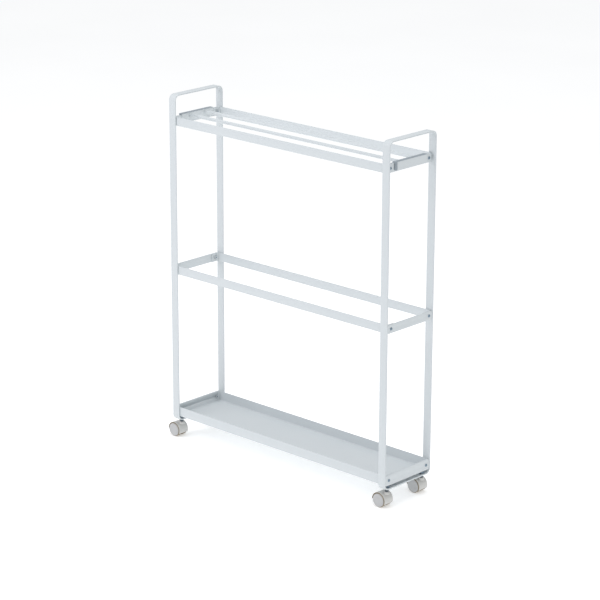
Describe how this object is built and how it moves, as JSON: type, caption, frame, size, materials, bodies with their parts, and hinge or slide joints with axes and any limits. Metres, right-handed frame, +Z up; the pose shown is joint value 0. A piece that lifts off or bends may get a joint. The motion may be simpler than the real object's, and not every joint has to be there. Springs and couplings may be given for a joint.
{
  "type": "rolling pantry cart",
  "caption": "Slim rolling pantry cart: bent flat-bar end frames with loop handles, a bottom tray, open middle and top rings, a lift-off rod rack and swivel casters.",
  "frame": {"origin": "on the floor, in the middle of the area covered by the cart with its casters trailing to the left", "axes": "+X along the cart towards its right end, +Y towards its back, +Z up"},
  "size_m": [0.6197, 0.139, 0.75],
  "materials": {
    "white_paint": "satin powder coat, white with a slight cool tint",
    "zinc_steel": "zinc plated",
    "dark_steel": "dark zinc plated",
    "saddle_plastic": "blue-grey moulded plastic, satin",
    "hood_plastic": "light warm grey moulded plastic, semi-gloss",
    "wheel_plastic": "light grey moulded plastic, satin"
  },
  "bodies": {
    "cart": {"end_frame_left": "white_paint", "end_frame_right": "white_paint", "crossbar_top_left": "white_paint", "crossbar_top_right": "white_paint", "rail_top_front": "white_paint", "rail_top_back": "white_paint", "bolt_top_left_front": "zinc_steel", "bolt_top_left_back": "zinc_steel", "bolt_top_right_front": "zinc_steel", "bolt_top_right_back": "zinc_steel", "crossbar_middle_left": "white_paint", "crossbar_middle_right": "white_paint", "rail_middle_front": "white_paint", "rail_middle_back": "white_paint", "bolt_middle_left_front": "zinc_steel", "bolt_middle_left_back": "zinc_steel", "bolt_middle_right_front": "zinc_steel", "bolt_middle_right_back": "zinc_steel", "crossbar_bottom_left": "white_paint", "crossbar_bottom_right": "white_paint", "bolt_bottom_left_front": "zinc_steel", "bolt_bottom_left_back": "zinc_steel", "bolt_bottom_right_front": "zinc_steel", "bolt_bottom_right_back": "zinc_steel", "tray": "white_paint", "caster_nut_left_front": "zinc_steel", "caster_stem_left_front": "dark_steel", "caster_nut_left_back": "zinc_steel", "caster_stem_left_back": "dark_steel", "caster_nut_right_front": "zinc_steel", "caster_stem_right_front": "dark_steel", "caster_nut_right_back": "zinc_steel", "caster_stem_right_back": "dark_steel"},
    "rack": {"rack_saddle_left": "saddle_plastic", "rack_saddle_right": "saddle_plastic", "rack_plate_inner_left": "white_paint", "rack_plate_inner_right": "white_paint", "rack_plate_outer_left": "white_paint", "rack_plate_outer_right": "white_paint", "rack_rod_front": "white_paint", "rack_rod_back": "white_paint"},
    "caster_left_front": {"caster_hood_left_front": "hood_plastic", "caster_axle_left_front": "zinc_steel"},
    "wheel_front_left_front": {"wheel_front_left_front": "wheel_plastic"},
    "wheel_back_left_front": {"wheel_back_left_front": "wheel_plastic"},
    "caster_left_back": {"caster_hood_left_back": "hood_plastic", "caster_axle_left_back": "zinc_steel"},
    "wheel_front_left_back": {"wheel_front_left_back": "wheel_plastic"},
    "wheel_back_left_back": {"wheel_back_left_back": "wheel_plastic"},
    "caster_right_front": {"caster_hood_right_front": "hood_plastic", "caster_axle_right_front": "zinc_steel"},
    "wheel_front_right_front": {"wheel_front_right_front": "wheel_plastic"},
    "wheel_back_right_front": {"wheel_back_right_front": "wheel_plastic"},
    "caster_right_back": {"caster_hood_right_back": "hood_plastic", "caster_axle_right_back": "zinc_steel"},
    "wheel_front_right_back": {"wheel_front_right_back": "wheel_plastic"},
    "wheel_back_right_back": {"wheel_back_right_back": "wheel_plastic"}
  },
  "joints": [
    {"name": "rack_lift", "type": "slide", "parent": "cart", "child": "rack", "axis": [0, 0, 1], "range_m": [0, 0.2]},
    {"name": "swivel_left_front", "type": "hinge", "parent": "cart", "child": "caster_left_front", "pos_m": [-0.2823, -0.053, 0.035], "axis": [0, 0, 1], "continuous": true},
    {"name": "roll_front_left_front", "type": "hinge", "parent": "caster_left_front", "child": "wheel_front_left_front", "pos_m": [-0.2933, -0.053, 0.015], "axis": [0, 1, 0], "continuous": true},
    {"name": "roll_back_left_front", "type": "hinge", "parent": "caster_left_front", "child": "wheel_back_left_front", "pos_m": [-0.2933, -0.053, 0.015], "axis": [0, 1, 0], "continuous": true},
    {"name": "swivel_left_back", "type": "hinge", "parent": "cart", "child": "caster_left_back", "pos_m": [-0.2823, 0.053, 0.035], "axis": [0, 0, 1], "continuous": true},
    {"name": "roll_front_left_back", "type": "hinge", "parent": "caster_left_back", "child": "wheel_front_left_back", "pos_m": [-0.2933, 0.053, 0.015], "axis": [0, 1, 0], "continuous": true},
    {"name": "roll_back_left_back", "type": "hinge", "parent": "caster_left_back", "child": "wheel_back_left_back", "pos_m": [-0.2933, 0.053, 0.015], "axis": [0, 1, 0], "continuous": true},
    {"name": "swivel_right_front", "type": "hinge", "parent": "cart", "child": "caster_right_front", "pos_m": [0.2997, -0.053, 0.035], "axis": [0, 0, 1], "continuous": true},
    {"name": "roll_front_right_front", "type": "hinge", "parent": "caster_right_front", "child": "wheel_front_right_front", "pos_m": [0.2887, -0.053, 0.015], "axis": [0, 1, 0], "continuous": true},
    {"name": "roll_back_right_front", "type": "hinge", "parent": "caster_right_front", "child": "wheel_back_right_front", "pos_m": [0.2887, -0.053, 0.015], "axis": [0, 1, 0], "continuous": true},
    {"name": "swivel_right_back", "type": "hinge", "parent": "cart", "child": "caster_right_back", "pos_m": [0.2997, 0.053, 0.035], "axis": [0, 0, 1], "continuous": true},
    {"name": "roll_front_right_back", "type": "hinge", "parent": "caster_right_back", "child": "wheel_front_right_back", "pos_m": [0.2887, 0.053, 0.015], "axis": [0, 1, 0], "continuous": true},
    {"name": "roll_back_right_back", "type": "hinge", "parent": "caster_right_back", "child": "wheel_back_right_back", "pos_m": [0.2887, 0.053, 0.015], "axis": [0, 1, 0], "continuous": true}
  ]
}
